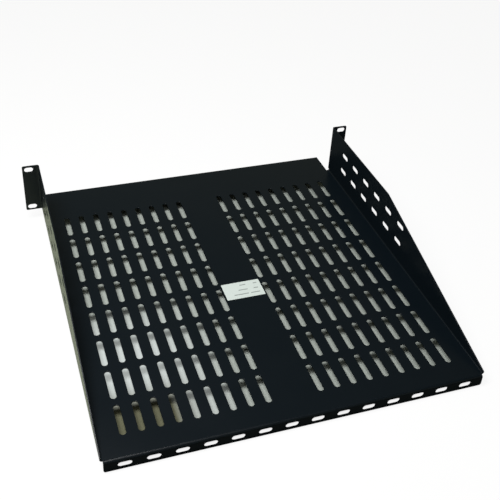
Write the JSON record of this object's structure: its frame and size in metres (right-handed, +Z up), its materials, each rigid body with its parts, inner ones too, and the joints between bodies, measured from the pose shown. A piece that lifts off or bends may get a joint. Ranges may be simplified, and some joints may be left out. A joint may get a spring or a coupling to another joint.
{
  "type": "cantilever rack shelf",
  "caption": "Folded sheet steel shelf for an equipment rack: slotted tray, sloping side walls, slotted flanges and two screw-slotted ears.",
  "frame": {"origin": "midway between the four ear slots, on the face of the ears that seats against the front posts of the rack", "axes": "+X across the rack, +Y forward out of the rack, +Z up; the tray runs back from the ears along -Y"},
  "size_m": [0.4826, 0.488, 0.0881],
  "materials": {
    "painted_steel": "satin black powder coat"
  },
  "bodies": {
    "root": {"shelf": "painted_steel"}
  },
  "joints": []
}
